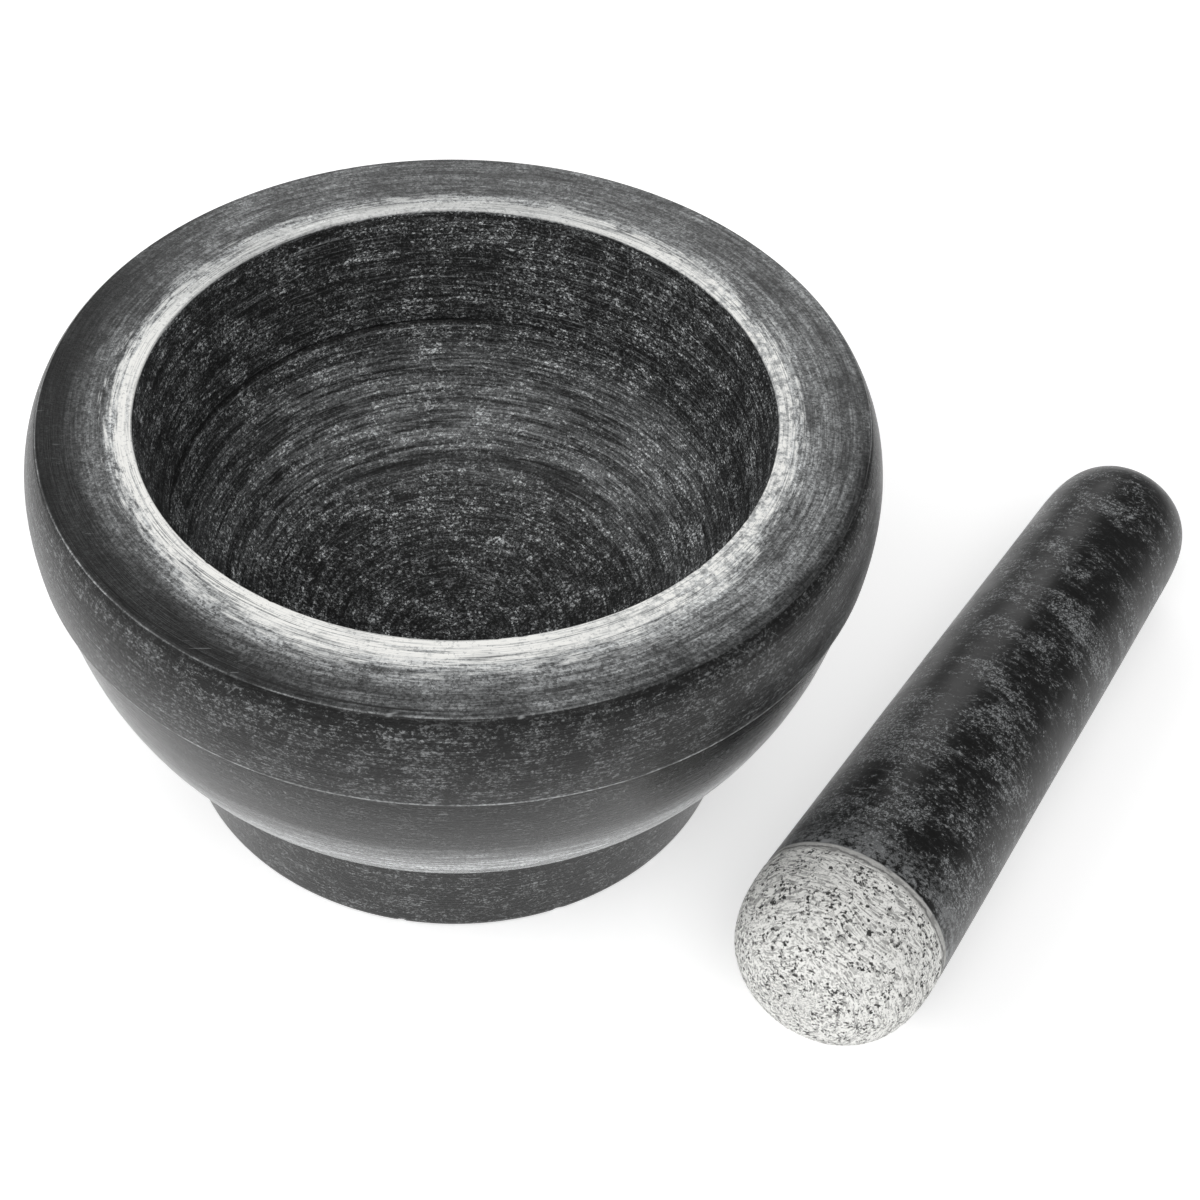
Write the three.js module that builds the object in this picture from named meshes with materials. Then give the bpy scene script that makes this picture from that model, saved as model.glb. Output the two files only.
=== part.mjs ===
// A footed stone mortar, turned from one block, with its loose stone pestle lying beside it.
// Millimetres, +Z up. The origin is the centre of the flat underside of the foot.
import * as THREE from "three";

// Foot: a short drum that widens a little towards its top.
const FOOT_RADIUS = 55.6;
const FOOT_FLARE = 1.6;
const FOOT_HEIGHT = 23.5;
const FOOT_BEVEL = 0.8;

// Outer wall: a full lower band, a turned groove, and a shorter upper band that stands proud of it.
const BELLY_RADIUS = 80;
const LOWER_BAND_HEIGHT = 42.5; // from the foot to the upper band's bottom edge
const UPPER_BAND_HEIGHT = 19.7;
const SHOULDER_INSET = 8.2; // how far inside the widest radius the lower band turns upward
const SHOULDER_RISE = 6; // how far above the foot it does so
const LOWER_LIP_INSET = 1.8; // how far inside the widest radius the lower band's top lies
const LOWER_LIP_LEAN = 1.2; // how far it still widens over its upright top stretch
const LOWER_LIP_RISE = 12; // how tall that stretch is
const UPPER_LIP_INSET = 0.5; // how far inside the widest radius the upper band's bottom edge lies
const GROOVE_WIDTH = 1;
const GROOVE_DEPTH = 0.4; // how far it is cut in behind the lower band's top

// Rim: an almost level ring between the outer edge and the mouth.
const RIM_EDGE_INSET = 2.8; // how far inside the widest radius the rim's outer edge lies
const RIM_BEVEL = 0.7;
const RIM_CROWN = 0.3;
const RIM_WIDTH = 17.8;
const MOUTH_ROUNDING = 0.5;

// Bowl: a wall that leans in on the way down, then one smooth curve to the floor.
const WALL_DEPTH = 25;
const WALL_LEAN = 4.8;
const FLOOR_THICKNESS = 22;

// Pestle: a tapered bar with a domed grinding end and a blunt, rounded handle end.
// Its two radii are those of the straight taper carried on to each tip.
const PESTLE_LENGTH = 161;
const GRINDING_RADIUS = 19.7;
const GRINDING_DOME = 22.3;
const GRINDING_SQUARENESS = 2.76; // 2 is an ellipse, and more is blunter
const HANDLE_RADIUS = 15.5;
const HANDLE_DOME = 21.6;
const HANDLE_SQUARENESS = 3.77;

// The pestle lies on the same surface as the foot, past the mortar's widest part.
const PESTLE_GAP = 0.5; // clear space between the two, seen from above
const PESTLE_TURN = THREE.MathUtils.degToRad(33.4); // its handle's turn from +Y towards +X
const PESTLE_LEAD = 39.6; // how far its grinding tip lies ahead of the place nearest the mortar

const MORTAR_SEGMENTS = 96;
const PESTLE_SEGMENTS = 48;
const BAND_STEPS = 9;
const BOWL_STEPS = 10;
const ROUNDING_STEPS = 3;
const DOME_STEPS = 8;
const CIRCLE_HANDLE = 0.55; // Bezier handle that makes a quarter curve close to an ellipse

/** A point of a turning profile: radius from the axis and height along it. */
function at(radius, height) {
  return new THREE.Vector2(radius, height);
}

/** A closed body turned about +Z from a profile that starts and ends on the axis. */
function turned(profile, segments) {
  return new THREE.LatheGeometry(profile, segments).rotateX(Math.PI / 2);
}

/** The foot, from the middle of its underside to its top. */
function footProfile() {
  const wallSlope = FOOT_FLARE / FOOT_HEIGHT;
  return [
    at(0, 0),
    at(FOOT_RADIUS - FOOT_BEVEL, 0),
    at(FOOT_RADIUS + FOOT_BEVEL * wallSlope, FOOT_BEVEL),
    at(FOOT_RADIUS + FOOT_FLARE, FOOT_HEIGHT),
  ];
}

/** The lower band, from the top of the foot to the groove's lower lip. */
function lowerBandProfile(lip) {
  return new THREE.CubicBezierCurve(
    at(FOOT_RADIUS + FOOT_FLARE, FOOT_HEIGHT),
    at(BELLY_RADIUS - SHOULDER_INSET, FOOT_HEIGHT + SHOULDER_RISE),
    at(lip.x - LOWER_LIP_LEAN, lip.y - LOWER_LIP_RISE),
    lip,
  ).getPoints(BAND_STEPS);
}

/** The upper band, from its bottom edge to the rim's bevel, widest at BELLY_RADIUS. */
function upperBandProfile(bandBottom, rimHeight) {
  const lip = at(BELLY_RADIUS - UPPER_LIP_INSET, bandBottom);
  const edge = at(BELLY_RADIUS - RIM_EDGE_INSET, rimHeight - RIM_BEVEL);
  const bulge = BELLY_RADIUS + Math.sqrt(UPPER_LIP_INSET * RIM_EDGE_INSET);
  const bulgeHeight = THREE.MathUtils.lerp(lip.y, edge.y, 0.65);
  return new THREE.QuadraticBezierCurve(lip, at(bulge, bulgeHeight), edge).getPoints(BAND_STEPS);
}

/** The rim's face and the rounding into the mouth. */
function rimProfile(rimHeight) {
  const outer = BELLY_RADIUS - RIM_EDGE_INSET - RIM_BEVEL;
  const mouth = BELLY_RADIUS - RIM_EDGE_INSET - RIM_WIDTH;
  const lip = mouth + MOUTH_ROUNDING;
  const points = [at(outer, rimHeight), at((outer + lip) / 2, rimHeight + RIM_CROWN)];
  for (let step = 0; step <= ROUNDING_STEPS; step++) {
    const angle = (step / ROUNDING_STEPS) * (Math.PI / 2);
    points.push(
      at(lip - MOUTH_ROUNDING * Math.sin(angle), rimHeight - MOUTH_ROUNDING * (1 - Math.cos(angle))),
    );
  }
  return points;
}

/** The inside, from the foot of the leaning wall to the middle of the floor. */
function bowlProfile(rimHeight) {
  const mouth = BELLY_RADIUS - RIM_EDGE_INSET - RIM_WIDTH;
  const wallFoot = at(mouth - WALL_LEAN, rimHeight - WALL_DEPTH);
  const fall = CIRCLE_HANDLE * (wallFoot.y - FLOOR_THICKNESS);
  return new THREE.CubicBezierCurve(
    wallFoot,
    at(wallFoot.x - (fall * WALL_LEAN) / WALL_DEPTH, wallFoot.y - fall),
    at(CIRCLE_HANDLE * wallFoot.x, FLOOR_THICKNESS),
    at(0, FLOOR_THICKNESS),
  ).getPoints(BOWL_STEPS);
}

/** The mortar: foot, banded outer wall, rim and bowl, all one stone. */
function makeMortar() {
  const bandBottom = FOOT_HEIGHT + LOWER_BAND_HEIGHT;
  const rimHeight = bandBottom + UPPER_BAND_HEIGHT;
  const lowerLip = at(BELLY_RADIUS - LOWER_LIP_INSET, bandBottom - GROOVE_WIDTH);
  const profile = [
    ...footProfile().slice(0, -1),
    ...lowerBandProfile(lowerLip),
    at(lowerLip.x - GROOVE_DEPTH, bandBottom - GROOVE_WIDTH / 2),
    ...upperBandProfile(bandBottom, rimHeight),
    ...rimProfile(rimHeight),
    ...bowlProfile(rimHeight),
  ];
  const stone = new THREE.MeshStandardMaterial({ color: 0x45484a, roughness: 0.6, metalness: 0 });
  const mortar = new THREE.Mesh(turned(profile, MORTAR_SEGMENTS), stone);
  mortar.name = "mortar";
  return mortar;
}

/** The pestle's radius at a distance from its grinding tip, before its ends are rounded. */
function taperRadius(along) {
  return THREE.MathUtils.lerp(GRINDING_RADIUS, HANDLE_RADIUS, along / PESTLE_LENGTH);
}

/** A rounded end in steps from its tip: the depth below the tip and the share of the full radius. */
function domeSteps(dome, squareness) {
  const power = 2 / squareness;
  return Array.from({ length: DOME_STEPS + 1 }, (_, step) => {
    const angle = (step / DOME_STEPS) * (Math.PI / 2);
    return { depth: dome * (1 - Math.cos(angle) ** power), share: Math.sin(angle) ** power };
  });
}

/** The pestle's outline from the grinding tip to the handle tip. */
function pestleProfile() {
  const grinding = domeSteps(GRINDING_DOME, GRINDING_SQUARENESS);
  const handle = domeSteps(HANDLE_DOME, HANDLE_SQUARENESS).reverse();
  return [
    ...grinding.map(({ depth, share }) => ({ along: depth, share })),
    ...handle.map(({ depth, share }) => ({ along: PESTLE_LENGTH - depth, share })),
  ].map(({ along, share }) => at(share * taperRadius(along), along));
}

/** Lays the pestle on its side, along its straight flank and clear of the mortar. */
function layDown(pestle) {
  const lean = Math.atan((GRINDING_RADIUS - HANDLE_RADIUS) / PESTLE_LENGTH);
  const heading = new THREE.Vector3(Math.sin(PESTLE_TURN), Math.cos(PESTLE_TURN), 0);
  const outward = new THREE.Vector3(heading.y, -heading.x, 0);
  const axis = heading.clone().multiplyScalar(Math.cos(lean)).setZ(-Math.sin(lean));
  const upward = new THREE.Vector3().crossVectors(axis, outward);
  pestle.quaternion.setFromRotationMatrix(new THREE.Matrix4().makeBasis(outward, upward, axis));
  pestle.position
    .copy(outward)
    .multiplyScalar(BELLY_RADIUS + PESTLE_GAP + taperRadius(PESTLE_LEAD))
    .addScaledVector(heading, -PESTLE_LEAD)
    .setZ(GRINDING_RADIUS * Math.cos(lean));
}

/** The pestle: grinding dome, tapered shaft and handle end, all one stone. */
function makePestle() {
  const stone = new THREE.MeshStandardMaterial({ color: 0x303335, roughness: 0.45, metalness: 0 });
  const pestle = new THREE.Mesh(turned(pestleProfile(), PESTLE_SEGMENTS), stone);
  pestle.name = "pestle";
  layDown(pestle);
  return pestle;
}

const molcajete = new THREE.Group();
molcajete.add(makeMortar(), makePestle());

export default molcajete;
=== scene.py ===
"""The finished look of a footed stone mortar and its loose pestle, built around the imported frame.

Sizes are in millimetres in the classes below and become metres where meshes are made. Both pieces
are turned shapes: an outline from axis to axis, swept round, then roughened by tool marks, nicks
and wear. Each vertex carries its place on the turning (the `track` attribute: distance along the
outline in millimetres, then the cosine and sine of its angle), and the stone finishes read that.
"""

import logging
import math
from dataclasses import dataclass, field
from enum import Enum
from typing import Union

import bpy
import numpy as np
from mathutils import Euler, Matrix, Vector


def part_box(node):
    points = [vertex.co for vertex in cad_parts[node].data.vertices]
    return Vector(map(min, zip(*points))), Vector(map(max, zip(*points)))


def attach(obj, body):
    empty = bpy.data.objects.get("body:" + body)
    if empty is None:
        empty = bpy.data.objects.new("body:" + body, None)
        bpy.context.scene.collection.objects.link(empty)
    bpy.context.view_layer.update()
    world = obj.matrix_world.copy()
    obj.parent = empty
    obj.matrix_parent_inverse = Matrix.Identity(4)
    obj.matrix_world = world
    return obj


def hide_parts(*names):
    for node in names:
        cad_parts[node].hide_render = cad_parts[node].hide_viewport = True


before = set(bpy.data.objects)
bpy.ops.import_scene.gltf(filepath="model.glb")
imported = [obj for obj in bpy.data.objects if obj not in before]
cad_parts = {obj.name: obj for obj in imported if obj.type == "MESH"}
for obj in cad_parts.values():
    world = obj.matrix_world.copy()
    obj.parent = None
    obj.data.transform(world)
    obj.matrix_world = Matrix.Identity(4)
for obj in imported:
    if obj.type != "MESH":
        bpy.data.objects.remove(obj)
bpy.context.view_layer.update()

MM = 0.001
TRACK = "track"
# the attribute of pale knocks and of painted shade in the tool furrows
WEAR_AND_SHADE = "wear_and_shade"
NOISE_RANGE = (0.3, 0.7)  # what a noise seldom goes past
FURROW_SHADE = 0.25  # painted shade: what a tone in a tool furrow is multiplied by
CHIP_SHOWS = (0.03, 0.12)  # the depths between which a chip turns pale, in millimetres
FURROW_SHADE_SHOWS = (0.02, 0.25)  # the depths between which a furrow takes on painted shade, in millimetres
CIRCLE_HANDLE = 0.55  # Bezier handle that makes a quarter curve close to an ellipse
log = logging.getLogger("mortar_and_pestle")

Socket = bpy.types.NodeSocket
Number = Union[Socket, float]


class Piece(Enum):
    """The CAD node, body and material slot names of the two stones."""

    MORTAR = "mortar"
    PESTLE = "pestle"

    @property
    def slot(self) -> str:
        """A material slot name for this stone; nothing here gives it to a slot."""
        return f"{self.value}_stone"


# ---------------------------------------------------------------- outlines and turned meshes


def smooth(value: np.ndarray, low: float, high: float) -> np.ndarray:
    """A smooth 0 to 1 rise between two values.

    Args:
        value: where the rise is wanted.
        low: where it starts.
        high: where it reaches 1; lower than `low` gives a fall.

    Returns:
        The rise at each value.
    """
    share = np.clip((value - low) / (high - low), 0.0, 1.0)
    return share * share * (3.0 - 2.0 * share)


def bezier(*handles: tuple[float, float], steps: int = 60) -> np.ndarray:
    """Points along a quadratic or cubic Bezier curve.

    Args:
        handles: three or four (radius, height) points.
        steps: how many spans to cut the curve into.

    Returns:
        An array of steps + 1 points.
    """
    points = np.array(handles, float)
    t = np.linspace(0.0, 1.0, steps + 1)[:, None]
    order = len(points) - 1
    return sum(
        math.comb(order, k) * (1 - t) ** (order - k) * t**k * points[k] for k in range(order + 1)
    )


def turn_from(angle: np.ndarray, bearing: float) -> np.ndarray:
    """The signed turn from a bearing to each angle, at most half a turn either way.

    Args:
        angle: the angles, in radians.
        bearing: where the turn is measured from, in radians.

    Returns:
        The turns, in radians.
    """
    return (angle - bearing + math.pi) % (2 * math.pi) - math.pi


def spoke_angles(spokes: int) -> np.ndarray:
    """The angles of evenly spaced spokes, in radians."""
    return np.arange(spokes) * (2 * math.pi / spokes)


@dataclass
class Outline:
    """A turning outline gathered stretch by stretch, which remembers where each one starts.

    `opening` is how much the mesh rings spread for each millimetre away from a crease, and
    `samples` is how finely a stretch is measured to place them.
    """

    points: list[np.ndarray] = field(default_factory=list)
    starts: dict[str, float] = field(default_factory=dict)
    length: float = 0.0
    opening: float = 0.4
    samples: int = 2000

    def add(self, name: str, stretch: np.ndarray, spacing: float, corner: float = 0.25) -> None:
        """Adds a stretch that carries on from the last point.

        Args:
            name: what the stretch is called.
            stretch: its (radius, height) points in millimetres.
            spacing: about how far apart its mesh rings lie.
            corner: how far apart they lie at its two ends, where it may meet a crease.
        """
        stretch = np.asarray(stretch, float)
        if self.points:
            stretch = np.vstack([self.points[-1], stretch])
        along = np.r_[0.0, np.cumsum(np.linalg.norm(np.diff(stretch, axis=0), axis=1))]
        self.starts[name] = self.length
        fine = np.linspace(0.0, along[-1], self.samples)
        gap = np.minimum(corner + self.opening * np.minimum(fine, along[-1] - fine), spacing)
        count = np.r_[0.0, np.cumsum(np.diff(fine) / (0.5 * (gap[1:] + gap[:-1])))]
        rings = max(1, round(count[-1]))
        wanted = np.interp(np.linspace(0.0, count[-1], rings + 1), count, fine)
        for place in wanted[1 if self.points else 0 :]:
            self.points.append(np.array([np.interp(place, along, stretch[:, k]) for k in (0, 1)]))
        self.length += float(along[-1])

    def arrays(self) -> tuple[np.ndarray, np.ndarray, np.ndarray]:
        """The outline as arrays, one row for each mesh ring.

        Returns:
            The points, their distances along the outline, and their outward normals.
        """
        points = np.array(self.points)
        along = np.r_[0.0, np.cumsum(np.linalg.norm(np.diff(points, axis=0), axis=1))]
        slope = np.gradient(points, along, axis=0)
        slope /= np.linalg.norm(slope, axis=1)[:, None]
        return points, along, np.c_[slope[:, 1], -slope[:, 0]]


@dataclass(frozen=True)
class Ripple:
    """A smooth, seeded, seamless unevenness over a turned surface.

    `around` and `along` are its typical numbers of waves per turn and per millimetre.
    """

    height: float
    around: float
    along: float
    waves: int
    seed: int

    def over(self, along: np.ndarray, angle: np.ndarray) -> np.ndarray:
        """The unevenness in millimetres on a grid of rings by angles.

        Args:
            along: distance along the outline of each ring.
            angle: angle of each spoke.

        Returns:
            An array of one height for each ring and spoke.
        """
        rng = np.random.default_rng(self.seed)
        total = np.zeros((len(along), len(angle)))
        for _ in range(self.waves):
            turns = round(rng.normal(0.0, self.around))
            pitch = rng.normal(0.0, self.along) * 2 * math.pi
            phase = rng.uniform(0.0, 2 * math.pi)
            total += np.cos(pitch * along[:, None] + turns * angle[None, :] + phase)
        return self.height * total / math.sqrt(self.waves / 2)


@dataclass(frozen=True)
class Nicks:
    """Small chips knocked out of a band of a turned surface.

    `centre` is a distance along the outline, and the deepest chips are as deep as `depth`. A chip
    is a few times wider than tall, and leans a little.
    """

    count: int
    centre: float
    spread: float
    size: tuple[float, float]
    depth: float
    seed: int
    widening: tuple[float, float] = (1.0, 2.6)
    leaning: tuple[float, float] = (-0.6, 0.6)
    fullness: float = 0.6

    def over(self, along: np.ndarray, angle: np.ndarray, radius: np.ndarray) -> np.ndarray:
        """How far each point of the grid is cut in, in millimetres, as negative heights.

        Args:
            along: distance along the outline of each ring.
            angle: angle of each spoke.
            radius: radius of each ring.

        Returns:
            An array of one height for each ring and spoke.
        """
        rng = np.random.default_rng(self.seed)
        cut = np.zeros((len(along), len(angle)))
        for _ in range(self.count):
            place = rng.normal(self.centre, self.spread)
            bearing = rng.uniform(-math.pi, math.pi)
            tall = rng.uniform(*self.size)
            wide = tall * rng.uniform(*self.widening)
            lean = rng.uniform(*self.leaning)
            rings = np.nonzero(np.abs(along - place) < 2 * tall)[0]
            if not len(rings):
                continue
            across = turn_from(angle, bearing)[None, :] * np.maximum(radius[rings], 1.0)[:, None]
            up = (along[rings] - place)[:, None] + lean * across
            inside = np.clip(1.0 - (across / wide) ** 2 - (up / tall) ** 2, 0.0, None)
            hollow = -self.depth * (tall / self.size[1]) * inside**self.fullness
            cut[rings] = np.minimum(cut[rings], hollow)
        return cut


@dataclass(frozen=True)
class ToolMark:
    """A shallow furrow left by a turning tool, which fades out at both ends of its sweep.

    `centre` is a distance along the outline, and `bearing` and `sweep` are in degrees.
    """

    centre: float
    width: float
    depth: float
    bearing: float
    sweep: float

    def over(self, along: np.ndarray, angle: np.ndarray) -> np.ndarray:
        """How far each point of the grid is cut in, in millimetres, as negative heights.

        Args:
            along: distance along the outline of each ring.
            angle: angle of each spoke.

        Returns:
            An array of one height for each ring and spoke.
        """
        across = np.clip(1.0 - ((along - self.centre) / (self.width / 2)) ** 2, 0.0, None)
        turn = np.abs(turn_from(angle, math.radians(self.bearing)))
        half = math.radians(self.sweep) / 2
        return -self.depth * across[:, None] * smooth(turn, half, 0.6 * half)[None, :]


def turned_faces(spokes: int, ring_count: int) -> list[list[int]]:
    """The faces of a closed turned mesh: a fan at each pole, and quads from ring to ring.

    Args:
        spokes: how many vertices each ring has.
        ring_count: how many rings lie between the two poles.

    Returns:
        The vertex numbers of each face, wound to face outwards.
    """
    spoke = np.arange(spokes)
    after = (spoke + 1) % spokes
    ring = 1 + spokes * np.arange(ring_count - 1)[:, None]
    quads = np.stack([ring + spoke, ring + after, ring + after + spokes, ring + spoke + spokes], axis=2)
    last = 1 + spokes * (ring_count - 1)
    base_fan = np.c_[np.zeros(spokes, int), 1 + after, 1 + spoke]
    top_fan = np.c_[np.full(spokes, last + spokes), last + spoke, last + after]
    return base_fan.tolist() + quads.reshape(-1, 4).tolist() + top_fan.tolist()


def store(mesh: bpy.types.Mesh, name: str, values: np.ndarray) -> None:
    """Stores a number or a vector on each vertex of a mesh.

    Args:
        mesh: the mesh.
        name: the attribute's name.
        values: one number or one row of three for each vertex.
    """
    kind, part = ("FLOAT", "value") if values.ndim == 1 else ("FLOAT_VECTOR", "vector")
    layer = mesh.attributes.new(name, kind, "POINT")
    layer.data.foreach_set(part, values.astype(np.float32).ravel())


def turned_mesh(
    name: str, outline: Outline, relief: np.ndarray, wear_and_shade: np.ndarray, place: Matrix
) -> bpy.types.Object:
    """Sweeps an outline round its axis into one closed, smooth mesh.

    Args:
        name: the piece's name.
        outline: the outline, which starts and ends on the axis.
        relief: how far each ring and spoke stands out along the normal, in millimetres.
        wear_and_shade: how pale from knocks, 0 to 1, or dark with painted furrow shade, 0 to -1, each point
            is.
        place: where the turned shape goes; its own axis is +Z.

    Returns:
        The new object, with the `track` attribute and the attribute of knocks and painted furrow shade on
        its vertices.
    """
    spokes = relief.shape[1]
    points, along, normals = outline.arrays()
    angle = spoke_angles(spokes)
    cosine, sine = np.cos(angle), np.sin(angle)
    inner = slice(1, len(points) - 1)
    radius = points[inner, :1] + relief[inner] * normals[inner, :1]
    height = points[inner, 1:] + relief[inner] * normals[inner, 1:]
    rings = np.stack([radius * cosine, radius * sine, height], axis=2)
    poles = [[0.0, 0.0, points[end, 1] + relief[end, 0] * normals[end, 1]] for end in (0, -1)]
    corners = np.vstack([poles[0], rings.reshape(-1, 3), poles[1]]) * MM
    turned = np.array(place)
    corners = corners @ turned[:3, :3].T + turned[:3, 3]

    mesh = bpy.data.meshes.new(name)
    mesh.from_pydata(corners.tolist(), [], turned_faces(spokes, len(rings)))
    mesh.shade_smooth()
    track = np.empty((len(corners), 3))
    track[0], track[-1] = (along[0], 1.0, 0.0), (along[-1], 1.0, 0.0)
    track[1:-1, 0] = np.repeat(along[inner], spokes)
    track[1:-1, 1] = np.tile(cosine, len(rings))
    track[1:-1, 2] = np.tile(sine, len(rings))
    store(mesh, TRACK, track)
    store(mesh, WEAR_AND_SHADE, np.r_[0.0, wear_and_shade[inner].ravel(), 0.0])
    mesh.update()
    piece = bpy.data.objects.new(name, mesh)
    bpy.context.scene.collection.objects.link(piece)
    return piece


# ---------------------------------------------------------------- node graphs


@dataclass(frozen=True)
class Side:
    """One side of a turning, in degrees: its middle from +X towards +Y, its reach and its fade."""

    bearing: float
    half: float
    soft: float


@dataclass(frozen=True)
class Texture:
    """A noise: how many waves to a unit, the same or different each way, and its finer layers."""

    waves: float | tuple[float, float, float]
    detail: float
    rough: float


@dataclass(frozen=True)
class Grit:
    """Packed grains: how many to a unit each way, and the noise that shakes them out of line."""

    packing: tuple[float, float, float]
    waves: float
    shake: float


class Graph:
    """Builds one material's nodes, and hands back sockets that chain together."""

    def __init__(self, name: str) -> None:
        """Starts a material with an empty stone shader.

        Args:
            name: the material's name.
        """
        self.material = bpy.data.materials.new(name)
        self.material.use_nodes = True
        self.tree = self.material.node_tree
        self.shader = self.tree.nodes["Principled BSDF"]
        self.column = 0

    def node(self, kind: str, **settings: object) -> bpy.types.Node:
        """Adds a node, and sets it down in rows of twelve.

        Args:
            kind: the node's type name.
            settings: its own properties, such as operation.

        Returns:
            The node.
        """
        made = self.tree.nodes.new(kind)
        for key, value in settings.items():
            setattr(made, key, value)
        self.column += 1
        made.location = (-180 * (self.column % 12) - 200, -160 * (self.column // 12))
        return made

    def feed(self, socket: Socket, value: Union[Number, tuple]) -> None:
        """Links a socket into an input, or sets the input's own value.

        Args:
            socket: the input.
            value: an output socket, a number or a tuple.
        """
        if isinstance(value, bpy.types.NodeSocket):
            self.tree.links.new(value, socket)
        else:
            socket.default_value = value

    def track(self) -> tuple[Socket, Socket]:
        """Reads where on the turning a point lies.

        Returns:
            The distance along the outline in millimetres, and the whole track vector.
        """
        source = self.node("ShaderNodeAttribute", attribute_name=TRACK)
        split = self.node("ShaderNodeSeparateXYZ")
        self.feed(split.inputs[0], source.outputs["Vector"])
        return split.outputs["X"], source.outputs["Vector"]

    def worn(self, tone: Socket, pale: float) -> Socket:
        """A tone turned pale where the surface is knocked, and darkened by painted shade in the tool
        furrows.

        Args:
            tone: the tone of the sound surface.
            pale: the tone of freshly broken stone.

        Returns:
            The changed tone.
        """
        wear_and_shade = self.node("ShaderNodeAttribute", attribute_name=WEAR_AND_SHADE).outputs["Fac"]
        # painted shade: below 0 the attribute darkens the tone in the tool furrows
        tone = self.times(tone, self.fade(wear_and_shade, -1.0, 0.0, FURROW_SHADE, 1.0))
        return self.blend(self.fade(wear_and_shade, 0.0, 1.0), tone, pale)

    def towards(self, track: Socket, side: Side) -> Socket:
        """1 on one side of the turning, fading to 0 away from it.

        Args:
            track: the track vector.
            side: the side with the full effect.

        Returns:
            The effect, 0 to 1.
        """
        bearing = math.radians(side.bearing)
        made = self.node("ShaderNodeVectorMath", operation="DOT_PRODUCT")
        self.feed(made.inputs[0], track)
        self.feed(made.inputs[1], (0.0, math.cos(bearing), math.sin(bearing)))
        near = math.cos(math.radians(side.half))
        far = math.cos(math.radians(side.half + side.soft))
        return self.fade(made.outputs["Value"], far, near)

    def place(self) -> Socket:
        """The point on the piece itself, in millimetres."""
        source = self.node("ShaderNodeTexCoord")
        return self.scaled(source.outputs["Object"], (1 / MM, 1 / MM, 1 / MM))

    def scaled(self, vector: Socket, scale: tuple[float, float, float]) -> Socket:
        """A vector multiplied part by part.

        Args:
            vector: the vector.
            scale: what each of its parts is multiplied by.

        Returns:
            The scaled vector.
        """
        made = self.node("ShaderNodeVectorMath", operation="MULTIPLY")
        self.feed(made.inputs[0], vector)
        self.feed(made.inputs[1], scale)
        return made.outputs[0]

    def math(self, operation: str, *values: Number, clamp: bool = False) -> Socket:
        """One arithmetic step.

        Args:
            operation: the Math node's operation.
            values: its one, two or three inputs.
            clamp: whether to hold the result between 0 and 1.

        Returns:
            The result.
        """
        made = self.node("ShaderNodeMath", operation=operation, use_clamp=clamp)
        for socket, value in zip(made.inputs, values):
            self.feed(socket, value)
        return made.outputs[0]

    def gathered(self, operation: str, values: tuple[Number, ...]) -> Socket:
        """Several numbers taken into one by the same arithmetic step.

        Args:
            operation: the Math node's operation.
            values: the numbers, in order.

        Returns:
            The result.
        """
        total = values[0]
        for value in values[1:]:
            total = self.math(operation, total, value)
        return total

    def times(self, *values: Number) -> Socket:
        """The product of several numbers."""
        return self.gathered("MULTIPLY", values)

    def plus(self, *values: Number) -> Socket:
        """The sum of several numbers."""
        return self.gathered("ADD", values)

    def most(self, *values: Number) -> Socket:
        """The largest of several numbers."""
        return self.gathered("MAXIMUM", values)

    def minus(self, first: Number, second: Number) -> Socket:
        """One number less another."""
        return self.math("SUBTRACT", first, second)

    def opposite(self, share: Socket) -> Socket:
        """What is left of 1 after a share is taken away."""
        return self.math("SUBTRACT", 1.0, share)

    def noise(self, vector: Socket, texture: Texture) -> Socket:
        """Smooth noise around 0.5.

        Args:
            vector: where it is read.
            texture: its waves and layers.

        Returns:
            The noise value.
        """
        waves = texture.waves
        if isinstance(waves, tuple):
            vector = self.scaled(vector, waves)
            waves = 1.0
        made = self.node("ShaderNodeTexNoise", noise_dimensions="3D")
        self.feed(made.inputs["Vector"], vector)
        made.inputs["Scale"].default_value = waves
        made.inputs["Detail"].default_value = texture.detail
        made.inputs["Roughness"].default_value = texture.rough
        return made.outputs[0]

    def jostled(self, vector: Socket, waves: float, shake: float) -> Socket:
        """A vector shaken by noise, which makes what is read there irregular.

        Args:
            vector: the vector to shake.
            waves: noise waves per unit of the vector.
            shake: how far the noise moves it at most.

        Returns:
            The shaken vector.
        """
        source = self.node("ShaderNodeTexNoise", noise_dimensions="3D")
        self.feed(source.inputs["Vector"], vector)
        source.inputs["Scale"].default_value = waves
        made = self.node("ShaderNodeVectorMath", operation="ADD")
        self.feed(made.inputs[0], vector)
        self.feed(made.inputs[1], self.scaled(source.outputs["Color"], (shake, shake, shake)))
        return made.outputs[0]

    def crystals(self, vector: Socket) -> Socket:
        """A different even value on each of many small packed grains.

        Args:
            vector: where they are read, with about one grain to a unit.

        Returns:
            The value, 0 to 1.
        """
        made = self.node("ShaderNodeTexVoronoi", feature="F1")
        self.feed(made.inputs["Vector"], vector)
        made.inputs["Scale"].default_value = 1.0
        split = self.node("ShaderNodeSeparateXYZ")
        self.feed(split.inputs[0], made.outputs["Color"])
        return split.outputs["X"]

    def grains(self, vector: Socket, grit: Grit) -> Socket:
        """A different even value on each of many irregular grains.

        Args:
            vector: where they are read.
            grit: how they are packed and shaken.

        Returns:
            The value, 0 to 1.
        """
        return self.crystals(self.jostled(self.scaled(vector, grit.packing), grit.waves, grit.shake))

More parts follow.
